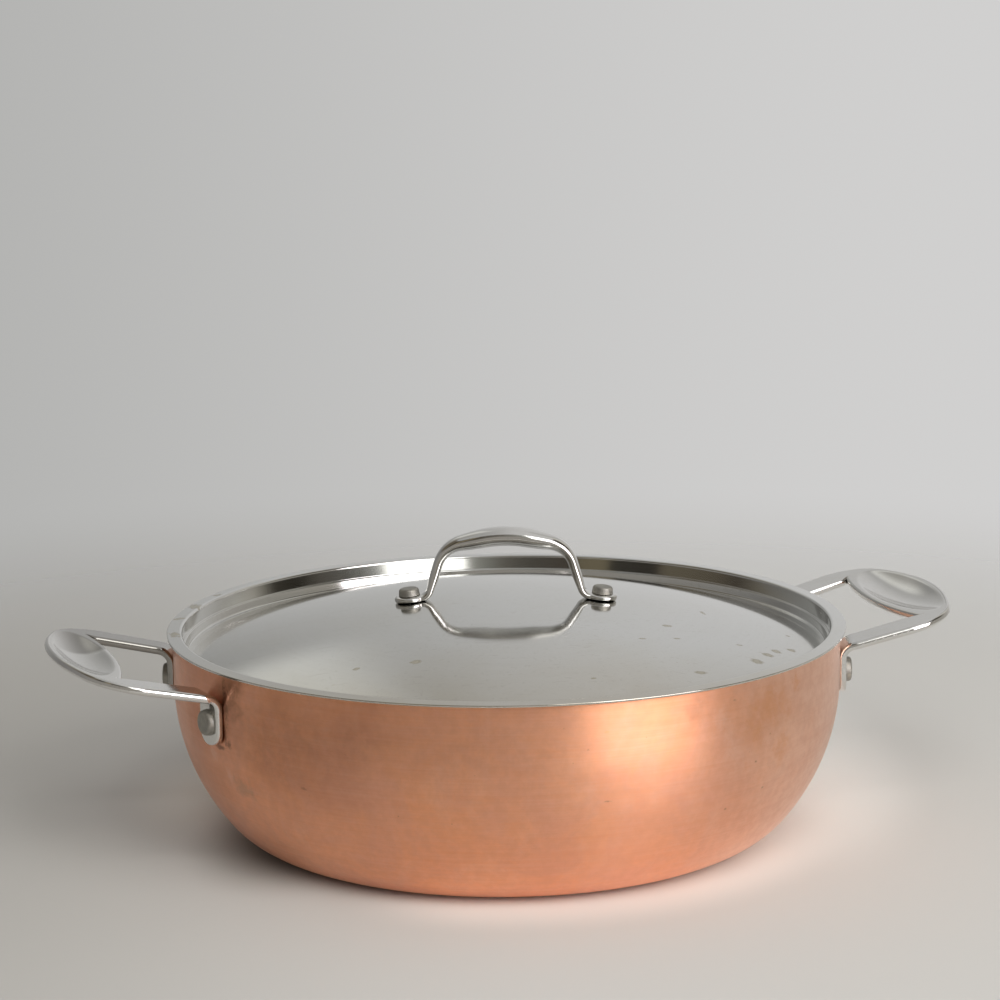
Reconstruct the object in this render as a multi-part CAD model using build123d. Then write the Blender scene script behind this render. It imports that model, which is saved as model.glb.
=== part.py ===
from build123d import *
import math
import os

# Low casserole pot with two loop handles and a lifting lid.
# Millimetres. Origin on the floor at the centre of the base, +Z up, side handles along X.

# Pot body: a bowl pressed from three bonded layers
rim_radius = 147.5
pot_height = 93.0
side_height = 21.0
belly_radius = 92.0
knuckle_radius = 36.0
copper_gauge = 0.6
core_gauge = 1.2
lining_gauge = 0.5

# Side handles: a loop bent from thick strap, with a thumb dish across its outer end
strap_drop = 7.7
strap_rise = 13.0
strap_gauge = 3.6
loop_reach = 57.6
loop_half_width = 55.8
tip_radius = 100.0
corner_radius = 24.3
opening_half_width = 40.5
opening_depth_middle = 27.7
opening_depth_side = 32.3
opening_corner = 4.0
strap_edge = 1.2
dish_reach = 43.4
dish_half_width = 11.0
dish_half_length = 42.0
dish_depth = 4.2
dish_wall = 2.0

# Handle tabs, bent down against the wall and riveted through it
rivet_angle = 17.0
rivet_drop = 21.8
tab_width = 15.5
tab_gauge = 2.9
tab_drop = 9.7
tab_corner = 6.5
bend_outer = 7.4
bend_inner = 4.5
tab_clearance = 0.05

# Rivets of the side handles
side_shank_radius = 3.0
side_head_radius = 5.7
side_head_height = 2.7
side_head_round = 1.5
side_tail_radius = 5.2
side_tail_height = 1.4

# Lid: one pressed sheet, a flange on the rim and a stepped wall round a raised dome
lid_overhang = 2.5
lid_gauge = 1.0
lid_play = 1.0
seat_gap = 0.3
flange_drop = 0.5
flange_edge = 0.25
step_depth = 6.5
step_width = 1.1
foot_width = 0.9
flange_bend = 1.2
foot_bend = 1.0
step_bend = 0.4
dome_radius = 465.0
dome_height = 11.5

# Lid handle: an arch of oval bar on two flat eyes
lid_turn = -16.3
eye_spacing = 85.0
eye_radius = 6.8
eye_gauge = 2.8
leg_foot = 34.4
shoulder_reach = 27.4
shoulder_height = 24.6
arch_height = 30.0
foot_turn = 4.6
shoulder_turn = 14.0
crown_turn = 56.0
crown_width = 13.4
crown_gauge = 8.2
leg_width = 7.6
leg_gauge = 4.3
ankle_width = 9.4
ankle_gauge = 3.4
ankle_length = 7.0
leg_start = 17.0
leg_finish = 21.0
crown_start = 49.0

# Rivets of the lid handle
lid_shank_radius = 2.5
lid_head_radius = 4.7
lid_head_height = 3.2
lid_head_round = 1.2
lid_tail_radius = 4.5
lid_tail_height = 1.3

# Fits, and the largest share of a gauge that a rounded edge may take
hole_clearance = 0.1
rivet_seat = 0.02
thin_share = 0.42

# Sizes that follow from the ones above
wall_gauge = copper_gauge + core_gauge + lining_gauge
strap_height = pot_height - strap_drop
rivet_height = pot_height - rivet_drop
edge_round = min(strap_edge, thin_share * tab_gauge, thin_share * strap_gauge)
side_grip = tab_gauge + tab_clearance + wall_gauge
lid_grip = eye_gauge + lid_gauge
lid_radius = rim_radius + lid_overhang
upper_wall_radius = rim_radius - wall_gauge - lid_play - lid_gauge
step_radius = upper_wall_radius - step_width
foot_radius = step_radius - foot_width
bend_height = pot_height - side_height
knuckle_turn = math.asin((bend_height - knuckle_radius) / (belly_radius - knuckle_radius))
rise = math.radians(strap_rise)
splay = math.radians(rivet_angle)
leg_lean = math.asin(math.sin(rise) * math.cos(splay))
tab_face = rim_radius + tab_clearance
under_flange = pot_height + seat_gap
flange_top = under_flange + lid_gauge
dome_top = flange_top + dome_height
dome_centre = dome_top - dome_radius
eye_offset = eye_spacing / 2
sides = {"left": 180.0, "right": 0.0}
ends = {"front": -1, "rear": 1}
lid_ends = {"left": -1, "right": 1}


def arc_point(centre_radius, centre_height, radius, angle):
    """A point of a profile's arc, its angle measured down from the horizontal."""
    return (
        centre_radius + radius * math.cos(angle),
        centre_height - radius * math.sin(angle),
    )


def turned(profile):
    """The solid that a profile sweeps round the pot's axis, its X the radius and its Y the height."""
    return revolve(Plane.XZ * profile, axis=Axis.Z)


def bowl_line(inset):
    """The wall's line from the centre of the base to the rim, moved in from the outside."""
    belly_centre = rim_radius - belly_radius
    reach = belly_radius - knuckle_radius
    knuckle_centre = belly_centre + reach * math.cos(knuckle_turn)
    belly = belly_radius - inset
    knuckle = knuckle_radius - inset
    half_down = (knuckle_turn + math.pi / 2) / 2
    base = (0, inset)
    base_edge = (knuckle_centre, inset)
    waist = arc_point(belly_centre, bend_height, belly, knuckle_turn)
    wall_foot = (rim_radius - inset, bend_height)
    rim = (rim_radius - inset, pot_height)
    knuckle_middle = arc_point(knuckle_centre, knuckle_radius, knuckle, half_down)
    belly_middle = arc_point(belly_centre, bend_height, belly, knuckle_turn / 2)
    return [
        Line(base, base_edge),
        ThreePointArc(base_edge, knuckle_middle, waist),
        ThreePointArc(waist, belly_middle, wall_foot),
        Line(wall_foot, rim),
    ]


def bowl_layer(outer_inset, gauge):
    """One layer of the pot wall, open at the rim."""
    outside = bowl_line(outer_inset)
    inside = bowl_line(outer_inset + gauge)
    rim = Line(outside[-1] @ 1, inside[-1] @ 1)
    axis_side = Line(outside[0] @ 0, inside[0] @ 0)
    return turned(make_face(outside + inside + [rim, axis_side]))


def rivet_plane(side, end):
    """The frame of a side rivet: on the tab's outer face, Z pointing away from the wall."""
    azimuth = math.radians(sides[side]) + ends[end] * splay * math.cos(math.radians(sides[side]))
    outward = (math.cos(azimuth), math.sin(azimuth), 0)
    face = tab_face + tab_gauge
    origin = (face * outward[0], face * outward[1], rivet_height)
    return Plane(origin=origin, x_dir=(-outward[1], outward[0], 0), z_dir=outward)


def side_drill():
    """The hole of a side rivet, through a tab and the wall."""
    return Cylinder(side_shank_radius + hole_clearance, 2 * (side_grip + tab_gauge))


def drilled_layer(outer_inset, gauge):
    """A wall layer with its rivet holes."""
    layer = bowl_layer(outer_inset, gauge)
    for side in sides:
        for end in ends:
            layer -= rivet_plane(side, end) * side_drill()
    return layer


def tangent_point(point, centre, radius, turn):
    """Where a line from a point touches a circle, on the side that turn names."""
    gap_x = point[0] - centre[0]
    gap_y = point[1] - centre[1]
    gap = math.hypot(gap_x, gap_y)
    angle = math.atan2(gap_y, gap_x) + turn * math.acos(radius / gap)
    return (centre[0] + radius * math.cos(angle), centre[1] + radius * math.sin(angle))


def strap_plane():
    """The top face of the right handle's strap, X running out along its rise."""
    along = (math.cos(rise), 0, math.sin(rise))
    normal = (-math.sin(rise), 0, math.cos(rise))
    return Plane(origin=(rim_radius, 0, strap_height), x_dir=along, z_dir=normal)


def leg_corner(across):
    """A corner of the leg where the strap leaves the bend, in the strap's own plane."""
    out = tab_face + bend_outer
    along = out * math.cos(splay) - across * math.sin(splay)
    aside = out * math.sin(splay) + across * math.cos(splay)
    return ((along - rim_radius) / math.cos(rise), aside)


def loop_outline():
    """The strap's outline in its own plane: two legs, rounded corners and a shallow tip arc."""
    tip_centre = loop_reach - tip_radius
    corner_y = loop_half_width - corner_radius
    corner_x = tip_centre + math.sqrt((tip_radius - corner_radius) ** 2 - corner_y ** 2)
    tip_turn = math.atan2(corner_y, corner_x - tip_centre)
    outer = leg_corner(tab_width / 2)
    inner = leg_corner(-tab_width / 2)
    flank = tangent_point(outer, (corner_x, corner_y), corner_radius, -1)
    flank_turn = math.atan2(flank[1] - corner_y, flank[0] - corner_x)
    middle_turn = (flank_turn + tip_turn) / 2
    corner_middle = (
        corner_x + corner_radius * math.cos(middle_turn),
        corner_y + corner_radius * math.sin(middle_turn),
    )
    tip_start = (
        tip_centre + tip_radius * math.cos(tip_turn),
        tip_radius * math.sin(tip_turn),
    )
    mouth = (opening_depth_side, opening_half_width)

    def mirrored(point):
        return (point[0], -point[1])

    edges = [
        Line(outer, flank),
        ThreePointArc(flank, corner_middle, tip_start),
        ThreePointArc(tip_start, (loop_reach, 0), mirrored(tip_start)),
        ThreePointArc(mirrored(tip_start), mirrored(corner_middle), mirrored(flank)),
        Line(mirrored(flank), mirrored(outer)),
        Line(mirrored(outer), mirrored(inner)),
        Line(mirrored(inner), mirrored(mouth)),
        ThreePointArc(mirrored(mouth), (opening_depth_middle, 0), mouth),
        Line(mouth, inner),
        Line(inner, outer),
    ]
    face = make_face(edges)
    near_mouth = [
        vertex
        for vertex in face.vertices()
        if abs(vertex.X - mouth[0]) < opening_corner and abs(abs(vertex.Y) - mouth[1]) < opening_corner
    ]
    return fillet(near_mouth, radius=opening_corner)


def on_leg_end(edge):
    """Whether an edge of the strap lies on one of the faces where the legs meet their bends."""
    outer = leg_corner(tab_width / 2)
    inner = leg_corner(-tab_width / 2)
    middle = edge @ 0.5
    away_x = middle.X - (outer[0] + inner[0]) / 2
    away_y = abs(middle.Y) - (outer[1] + inner[1]) / 2
    return math.hypot(away_x, away_y) < edge_round


def dish_body(extra):
    """The thumb dish as a long lemon: an arc turned about a line above the strap."""
    depth = dish_depth
    turn_radius = (dish_half_width ** 2 + depth ** 2) / (2 * depth)
    arc_radius = (dish_half_length ** 2 + depth ** 2) / (2 * depth) + extra
    reach = turn_radius + extra
    half_chord = math.sqrt(arc_radius ** 2 - (arc_radius - reach) ** 2)
    profile = make_face(
        [
            ThreePointArc((0, -half_chord), (reach, 0), (0, half_chord)),
            Line((0, half_chord), (0, -half_chord)),
        ]
    )
    lemon = revolve(profile, axis=Axis.Y)
    return Pos(dish_reach, 0, turn_radius - depth) * lemon


def bend_plane(end):
    """The frame across a leg's bend: X out from the wall, Z along the fold line."""
    outward = Vector(math.cos(splay), end * math.sin(splay), 0)
    fold = (outward.cross(Vector(-math.sin(rise), 0, math.cos(rise)))).normalized()
    height = strap_height - (rim_radius - tab_face * math.cos(splay)) * math.tan(rise)
    origin = outward * tab_face + Vector(0, 0, height)
    return Plane(origin=origin, x_dir=outward, z_dir=fold)


def bent_leg(end):
    """A tab against the wall, its bend and the start of the leg, in one folded strip."""
    along = (math.cos(leg_lean), math.sin(leg_lean))
    below = (math.sin(leg_lean), -math.cos(leg_lean))
    plane = bend_plane(end)
    drop = plane.origin.Z - rivet_height + tab_drop
    leg_length = bend_outer / along[0]
    leg_top = (along[0] * leg_length, along[1] * leg_length)
    leg_under = (leg_top[0] + below[0] * strap_gauge, leg_top[1] + below[1] * strap_gauge)
    back = (leg_under[0] - tab_gauge) / along[0]
    crook = (tab_gauge, leg_under[1] - back * along[1])
    corners = [(0, -drop), (0, 0), leg_top, leg_under, crook, (tab_gauge, -drop)]
    lines = [Line(start, finish) for start, finish in zip(corners, corners[1:] + corners[:1])]
    profile = rounded(make_face(lines), [((0, 0), bend_outer), (crook, bend_inner)])
    strip = extrude(profile, amount=tab_width / 2, both=True)
    leg_middle = ((leg_top[0] + leg_under[0]) / 2, (leg_top[1] + leg_under[1]) / 2)
    side_edges = []
    for edge in strip.edges():
        middle = edge @ 0.5
        on_side = abs(middle.Z) > tab_width / 2 - tab_clearance
        from_leg = math.hypot(middle.X - leg_middle[0], middle.Y - leg_middle[1])
        if on_side and from_leg > tab_clearance and middle.Y > tab_clearance - drop:
            side_edges.append(edge)
    strip = fillet(side_edges, radius=edge_round)
    return plane * strip & tab_outline(end)


def tab_outline(end):
    """A block that gives the tab its rounded lower corners."""
    plane = bend_plane(end)
    top = plane.origin.Z + loop_reach
    bottom = rivet_height - tab_drop
    outward = Vector(math.cos(splay), end * math.sin(splay), 0)
    centre = outward * tab_face + Vector(0, 0, (top + bottom) / 2)
    face_plane = Plane(origin=centre, x_dir=(-outward.Y, outward.X, 0), z_dir=outward)
    shape = RectangleRounded(tab_width, top - bottom, tab_corner)
    return face_plane * extrude(shape, amount=loop_reach, both=True)


def handle(side):
    """A side handle in one piece: strap loop, thumb dish, two bent legs and their tabs."""
    outline = loop_outline()
    strap = extrude(outline, amount=-strap_gauge)
    flat_edges = strap.edges().filter_by(Axis.Z, reverse=True)
    strap = fillet([edge for edge in flat_edges if not on_leg_end(edge)], radius=edge_round)
    bulge_depth = dish_depth + dish_wall - strap_gauge / 2
    column = Pos(0, 0, -strap_gauge / 2) * extrude(outline, amount=-bulge_depth)
    strap += column & dish_body(dish_wall)
    strap -= dish_body(0)
    piece = strap_plane() * strap
    for end in ends.values():
        piece += bent_leg(end)
    for end in ends:
        piece -= rivet_plane("right", end) * side_drill()
    return Rot(0, 0, sides[side]) * piece


def headed_rivet(shank, length, head, head_height, head_round):
    """A rivet with its head above the XY plane and its shank below."""
    top = Pos(0, 0, head_height / 2) * Cylinder(head, head_height)
    crown = top.edges().filter_by(GeomType.CIRCLE).sort_by(Axis.Z)[-1]
    top = fillet(crown, radius=head_round)
    stem = Pos(0, 0, -length / 2) * Cylinder(shank, length)
    return top + stem


def rivet_tail(radius, height, grip, bite):
    """The hammered tail: a low button that starts inside the wall it closes on."""
    button = Pos(0, 0, -grip - height / 2 + bite / 2) * Cylinder(radius, height + bite)
    edge = button.edges().filter_by(GeomType.CIRCLE).sort_by(Axis.Z)[0]
    return fillet(edge, radius=height / 2)


def side_rivet(side, end):
    """A rivet of a side handle, its tail shaped to the inside of the pot."""
    plane = rivet_plane(side, end)
    length = side_grip + side_tail_height / 2 + rivet_seat
    body = Pos(0, 0, rivet_seat) * headed_rivet(
        side_shank_radius, length, side_head_radius, side_head_height, side_head_round
    )
    tail = rivet_tail(side_tail_radius, side_tail_height, side_grip, wall_gauge / 2)
    return plane * body + (plane * tail - bowl_layer(0, wall_gauge))


def lid_profile():
    """The closed line of the lid's sheet, from the crown to the flange's edge and back below."""
    step_height = flange_top - step_depth
    sheet_radius = upper_wall_radius + lid_gauge
    under_radius = dome_radius - lid_gauge
    under_foot = foot_radius + lid_gauge
    slope = flange_drop / (lid_radius - upper_wall_radius)
    half = math.asin(foot_radius / dome_radius) / 2
    crown = (0, dome_top)
    crown_middle = (dome_radius * math.sin(half), dome_centre + dome_radius * math.cos(half))
    foot = (foot_radius, sphere_height(dome_radius, foot_radius))
    step_inner = (step_radius, step_height)
    step_outer = (upper_wall_radius, step_height)
    top_bend = (upper_wall_radius, flange_top + slope * (rim_radius - upper_wall_radius))
    edge_top = (lid_radius, flange_top - slope * (lid_radius - rim_radius))
    edge_under = (lid_radius, edge_top[1] - lid_gauge)
    under_bend = (sheet_radius, under_flange + slope * (rim_radius - sheet_radius))
    under_outer = (sheet_radius, step_height - lid_gauge)
    under_inner = (step_radius + lid_gauge, step_height - lid_gauge)
    foot_under = (under_foot, sphere_height(under_radius, under_foot))
    under_middle = (under_radius * math.sin(half), dome_centre + under_radius * math.cos(half))
    crown_under = (0, dome_top - lid_gauge)
    folds = [foot, step_inner, step_outer, top_bend, edge_top, edge_under]
    folds += [under_bend, under_outer, under_inner, foot_under]
    edges = [Line(start, end) for start, end in zip(folds, folds[1:])]
    edges.append(ThreePointArc(crown, crown_middle, foot))
    edges.append(ThreePointArc(foot_under, under_middle, crown_under))
    edges.append(Line(crown_under, crown))
    rounds = [
        (foot, foot_bend),
        (step_inner, step_bend),
        (step_outer, step_bend),
        (top_bend, flange_bend),
        (edge_top, flange_edge),
        (edge_under, flange_edge),
        (under_outer, step_bend),
        (foot_under, foot_bend + lid_gauge),
    ]
    return rounded(make_face(edges), rounds)


def rounded(face, rounds):
    """A flat profile with the corner nearest each named point rounded."""
    for point, radius in rounds:
        corner = face.vertices().sort_by_distance((point[0], point[1], 0))[0]
        face = fillet(corner, radius=radius)
    return face


def sphere_height(radius, distance):
    """Height at a distance from the axis on a sphere about the dome's centre."""
    return dome_centre + math.sqrt(radius ** 2 - distance ** 2)


def lid_plate():
    """The lid's sheet, turned from one folded profile, with two rivet holes."""
    plate = turned(lid_profile())
    for end in lid_ends.values():
        plate -= eye_plane(end) * lid_drill()
    return plate


def lid_drill():
    """The hole of a lid rivet, through an eye and the dome."""
    return Cylinder(lid_shank_radius + hole_clearance, 2 * (lid_grip + lid_gauge))


def eye_plane(end):
    """The frame of an eye: on the dome under the rivet, Z square to the dome."""
    lean = math.asin(eye_offset / dome_radius)
    turn = math.radians(lid_turn)
    outward = (math.cos(turn) * end, math.sin(turn) * end, 0)
    height = sphere_height(dome_radius, eye_offset)
    origin = (outward[0] * eye_offset, outward[1] * eye_offset, height)
    normal = (
        outward[0] * math.sin(lean),
        outward[1] * math.sin(lean),
        math.cos(lean),
    )
    along = (
        outward[0] * math.cos(lean),
        outward[1] * math.cos(lean),
        -math.sin(lean),
    )
    return Plane(origin=origin, x_dir=along, z_dir=normal)


def arch_path():
    """The middle line of the lid handle's bar, in the handle's own upright plane."""
    ground = sphere_height(dome_radius, leg_foot) + eye_gauge / 2
    seat = sphere_height(dome_radius, eye_offset) + eye_gauge / 2
    base = sphere_height(dome_radius, eye_offset)
    points = [
        (-eye_offset, 0, seat),
        (-leg_foot, 0, ground),
        (-shoulder_reach, 0, base + shoulder_height),
        (0, 0, base + arch_height),
        (shoulder_reach, 0, base + shoulder_height),
        (leg_foot, 0, ground),
        (eye_offset, 0, seat),
    ]
    turns = [foot_turn, shoulder_turn, crown_turn, shoulder_turn, foot_turn]
    return FilletPolyline(*points, radius=turns)


def bar_section(path, place, width, gauge):
    """An oval across the bar at a place along its middle line."""
    plane = Plane(origin=path @ place, x_dir=(0, 1, 0), z_dir=path % place)
    return plane * Ellipse(width / 2, gauge / 2)


def lid_handle():
    """The lid handle: a lofted arch whose bar widens over the top, joined to two drilled eyes."""
    path = arch_path()
    slope_width = (ankle_width + leg_width) / 2
    shoulder_width = (crown_width + leg_width) / 2
    shoulder_gauge = (crown_gauge + leg_gauge) / 2
    stations = [
        (0, ankle_width, ankle_gauge),
        (ankle_length, ankle_width, ankle_gauge),
        ((ankle_length + leg_start) / 2, slope_width, leg_gauge),
        (leg_start, leg_width, leg_gauge),
        (leg_finish, leg_width, leg_gauge),
        ((leg_finish + crown_start) / 2, shoulder_width, shoulder_gauge),
        (crown_start, crown_width, crown_gauge),
    ]
    near = [bar_section(path, place / path.length, width, gauge) for place, width, gauge in stations]
    far = [bar_section(path, 1 - place / path.length, width, gauge) for place, width, gauge in stations]
    crown = bar_section(path, 1 / 2, crown_width, crown_gauge)
    bar = Rot(0, 0, lid_turn) * loft(near + [crown] + far[::-1])
    eye = Pos(0, 0, eye_gauge / 2) * Cylinder(eye_radius, eye_gauge)
    below = Pos(0, 0, -leg_gauge / 2) * Box(eye_offset, eye_offset, leg_gauge)
    head_room = Pos(0, 0, eye_gauge + lid_head_height / 2) * Cylinder(
        lid_head_radius + hole_clearance, lid_head_height
    )
    for end in lid_ends.values():
        plane = eye_plane(end)
        bar -= plane * below
        bar += plane * eye
        bar -= plane * head_room
        bar -= plane * lid_drill()
    return bar


def lid_rivet(end):
    """A rivet of the lid handle, its tail shaped to the underside of the dome."""
    plane = eye_plane(end)
    length = lid_grip + lid_tail_height / 2 + rivet_seat
    body = Pos(0, 0, eye_gauge + rivet_seat) * headed_rivet(
        lid_shank_radius, length, lid_head_radius, lid_head_height, lid_head_round
    )
    tail = rivet_tail(lid_tail_radius, lid_tail_height, lid_gauge, lid_gauge / 2)
    return plane * body + (plane * tail - Pos(0, 0, dome_centre) * dome_skin())


def dome_skin():
    """The dome's sheet as a whole hollow ball, to shape what closes against it."""
    return Sphere(dome_radius) - Sphere(dome_radius - lid_gauge)


def save(name, shape):
    """Write one named piece."""
    export_step(shape, f"parts/{name}.step")


os.makedirs("parts", exist_ok=True)
save("copper_shell", drilled_layer(0, copper_gauge))
save("aluminium_core", drilled_layer(copper_gauge, core_gauge))
save("steel_lining", drilled_layer(copper_gauge + core_gauge, lining_gauge))
for side in sides:
    save(f"{side}_handle", handle(side))
    for end in ends:
        save(f"{side}_{end}_rivet", side_rivet(side, end))
save("lid_plate", lid_plate())
save("lid_handle", lid_handle())
for name, end in lid_ends.items():
    save(f"lid_{name}_rivet", lid_rivet(end))
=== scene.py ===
import math
from functools import partial

import bpy
import numpy as np
from mathutils import Matrix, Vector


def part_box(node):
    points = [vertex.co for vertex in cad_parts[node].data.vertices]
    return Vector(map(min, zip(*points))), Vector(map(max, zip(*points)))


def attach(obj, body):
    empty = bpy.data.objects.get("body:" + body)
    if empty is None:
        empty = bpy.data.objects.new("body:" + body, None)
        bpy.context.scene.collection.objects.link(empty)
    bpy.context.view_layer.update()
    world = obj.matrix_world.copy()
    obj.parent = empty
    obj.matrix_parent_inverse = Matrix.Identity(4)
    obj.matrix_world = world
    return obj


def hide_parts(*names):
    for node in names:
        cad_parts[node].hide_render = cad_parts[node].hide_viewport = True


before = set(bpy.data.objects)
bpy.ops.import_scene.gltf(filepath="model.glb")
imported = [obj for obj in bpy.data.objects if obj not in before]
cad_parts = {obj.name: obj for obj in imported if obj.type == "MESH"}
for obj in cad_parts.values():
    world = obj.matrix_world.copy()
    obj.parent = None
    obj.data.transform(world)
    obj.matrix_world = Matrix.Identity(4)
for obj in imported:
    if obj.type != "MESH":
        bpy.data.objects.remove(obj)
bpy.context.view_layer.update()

# Pot body, metres
rim_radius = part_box("copper_shell")[1].x
pot_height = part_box("copper_shell")[1].z
side_height = 0.021
belly_radius = 0.092
knuckle_radius = 0.036
copper_gauge = rim_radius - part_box("aluminium_core")[1].x
core_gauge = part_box("aluminium_core")[1].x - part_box("steel_lining")[1].x
lining_gauge = 0.0005
rim_round = 0.00012

# Side handles
strap_drop = 0.0077
strap_rise = math.radians(13)
strap_gauge = 0.0036
strap_edge = 0.0015
loop_reach = 0.0576
loop_half_width = 0.0558
tip_radius = 0.1
corner_radius = 0.0243
opening_half_width = 0.0405
opening_depth_middle = 0.0277
opening_depth_side = 0.0323
opening_corner = 0.004
dish_reach = 0.0424
dish_half_width = 0.012
dish_half_length = 0.042
dish_depth = 0.0042
dish_wall = 0.002
dish_crease = 0.00012

# Tabs of the side handles
splay = math.radians(17)
rivet_drop = 0.0218
tab_width = 0.0155
tab_gauge = 0.0029
tab_drop = 0.0097
tab_corner = 0.0065
bend_outer = 0.0074
bend_inner = 0.0045
tab_back_edge = 0.0005
tab_clearance = 0.00005

# Rivets: shank radius, head radius, height and round, tail radius and height
side_rivet = (0.003, 0.0057, 0.0027, 0.0015, 0.0052, 0.0014)
lid_rivet = (0.0025, 0.0047, 0.0032, 0.0012, 0.0045, 0.0013)

# Lid
lid_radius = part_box("lid_plate")[1].x
lid_gauge = 0.001
lid_play = 0.001
seat_gap = 0.0003
flange_drop = 0.0005
flange_edge = 0.0003
step_depth = 0.0065
step_width = 0.0011
foot_width = 0.0009
flange_bend = 0.0012
foot_bend = 0.001
step_bend = 0.0004
dome_radius = 0.465
dome_height = 0.0115

# Lid handle
lid_turn = math.radians(-16.3)
eye_offset = 0.0425
eye_radius = 0.0068
eye_gauge = 0.0028
leg_foot = 0.0344
shoulder_reach = 0.0274
shoulder_height = 0.0246
arch_height = 0.030
foot_turn = 0.0046
shoulder_turn = 0.014
crown_turn = 0.056
eye_edge = 0.0013

# The lid handle's bar, as distances past the eye with the width, the gauge or the superellipse power there:
# the ankle, the leg and the crown
bar_widths = [(0, 0.0094), (0.0088, 0.0094), (0.017, 0.0076), (0.021, 0.0076), (0.049, 0.0134), (1, 0.0134)]
bar_gauges = [(0, eye_gauge), (0.0044, eye_gauge), (0.0098, 0.0034), (0.017, 0.0043), (0.021, 0.0043),
              (0.049, 0.0082), (1, 0.0082)]
bar_powers = [(0, 3.0), (0.0044, 3.0), (0.017, 2.3), (1, 2.3)]

# Camera: its distance from the pot's axis, height, turn round the pot, tilt, roll and lens
camera_distance = 1.385646
camera_height = 0.411447
camera_turn = 0.285
camera_yaw = -0.001507
camera_pitch = 0.18716
camera_roll = -0.012408
camera_focal = 3.2
sensor_width = 36.0


def heading(turn):
    """The level direction at an angle from +X."""
    return np.array([math.cos(turn), math.sin(turn), 0])


# Sizes and directions that follow
x_axis, y_axis, z_axis = np.eye(3)
wall_gauge = copper_gauge + core_gauge + lining_gauge
strap_height = pot_height - strap_drop
strap_origin = np.array([rim_radius, 0, strap_height])
strap_along = math.cos(strap_rise) * x_axis + math.sin(strap_rise) * z_axis
rivet_height = pot_height - rivet_drop
tab_face = rim_radius + tab_clearance
under_flange = pot_height + seat_gap
flange_top = under_flange + lid_gauge
dome_top = flange_top + dome_height
dome_centre = dome_top - dome_radius
upper_wall = rim_radius - wall_gauge - lid_play - lid_gauge
step_radius = upper_wall - step_width
foot_radius = step_radius - foot_width
foot_flat = 4 * foot_bend

# The directions from the pot to the camera over the floor, of the camera's view and to its right
to_camera = -heading(math.pi / 2 - camera_turn)
view_turn = camera_turn + camera_yaw
camera_forward = math.cos(camera_pitch) * heading(math.pi / 2 - view_turn) - math.sin(camera_pitch) * z_axis
camera_level = heading(-view_turn)
camera_upright = np.cross(camera_level, camera_forward)
camera_right = math.cos(camera_roll) * camera_level + math.sin(camera_roll) * camera_upright

# Spacing of points: how close a held point lies to a corner, and the points round a turned piece
hold = 0.00015
around = 360

# The most of a strap's width or gauge that the round of its edge may take
most_round = 0.48


def unit(vector):
    """A vector, or each row of an array of vectors, divided by its length."""
    vector = np.asarray(vector, float)
    return vector / np.linalg.norm(vector, axis=-1, keepdims=True)


def laid(flat, x_dir, y_dir, origin=0):
    """Points (x, y) of a plane laid in space: origin + x times x_dir + y times y_dir."""
    return origin + flat[:, :1] * x_dir + flat[:, 1:] * y_dir


def lengths(line):
    """Each point's length along a line."""
    return np.append(0, np.cumsum(np.linalg.norm(np.diff(line, axis=0), axis=1)))


def arc(centre, radius, first, last, count):
    """Points of a circle in a plane, at even angles from first to last."""
    angle = np.linspace(first, last, count)
    return centre + radius * np.stack([np.cos(angle), np.sin(angle)], 1)


def corner_arc(before, corner, after, radius, count):
    """The arc that rounds a corner: two spokes of the circle mixed by sines of the turn."""
    before, corner, after = (np.asarray(point, float) for point in (before, corner, after))
    first = unit(before - corner)
    second = unit(after - corner)
    half = math.acos(float(np.clip(first @ second, -1, 1))) / 2
    centre = corner + unit(first + second) * radius / math.sin(half)
    spoke_in = corner + first * radius / math.tan(half) - centre
    spoke_out = corner + second * radius / math.tan(half) - centre
    turn = math.pi - 2 * half
    share = np.linspace(0, 1, count)[:, None]
    mixed = np.sin((1 - share) * turn) * spoke_in + np.sin(share * turn) * spoke_out
    return centre + mixed / math.sin(turn)


def stretch(start, finish, count):
    """Even points from start to finish and one held close to each end, which keeps the shading flat."""
    start, finish = np.asarray(start, float), np.asarray(finish, float)
    near = min(hold / max(np.linalg.norm(finish - start), hold), 0.4)
    share = np.concatenate([[0, near], np.linspace(near, 1 - near, count)[1:-1], [1 - near, 1]])
    return start + share[:, None] * (finish - start)


def rise_share(value, low, high):
    """0 below low, 1 above high and a smooth S between them."""
    share = np.clip((value - low) / (high - low), 0, 1)
    return share * share * (3 - 2 * share)


def rounded_line(corners, radii, arc_count=7, line_count=4):
    """A line through corners, each rounded by its own radius, with straight stretches between."""
    pieces = [np.asarray(corners[0], float)[None]]
    for before, corner, after, radius in zip(corners, corners[1:], corners[2:], radii):
        turned = corner_arc(before, corner, after, radius, arc_count)
        pieces.append(stretch(pieces[-1][-1], turned[0], line_count)[1:])
        pieces.append(turned[1:])
    pieces.append(stretch(pieces[-1][-1], corners[-1], line_count)[1:])
    return np.concatenate(pieces)


def grid_quads(rows, columns):
    """Faces between the rows of a grid of points, closed round the columns."""
    row = np.arange(rows - 1)[:, None]
    column = np.arange(columns)
    following = (column + 1) % columns
    corners = [row * columns + column, row * columns + following]
    corners += [corner + columns for corner in corners[::-1]]
    return np.stack(corners, -1).reshape(-1, 4)


def fan(centre, ring, flip):
    """Triangles from one centre point to a closed ring of points."""
    following = np.roll(ring, -1)
    middle = np.full_like(ring, centre)
    return np.stack([middle, following, ring] if flip else [middle, ring, following], 1)


def volume(points, triangles):
    """Six times the volume inside a closed surface: the sum of its corner triple products."""
    a, b, c = (points[triangles[:, i]] for i in range(3))
    return float(np.einsum("ij,ij->i", a, np.cross(b, c)).sum())


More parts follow.
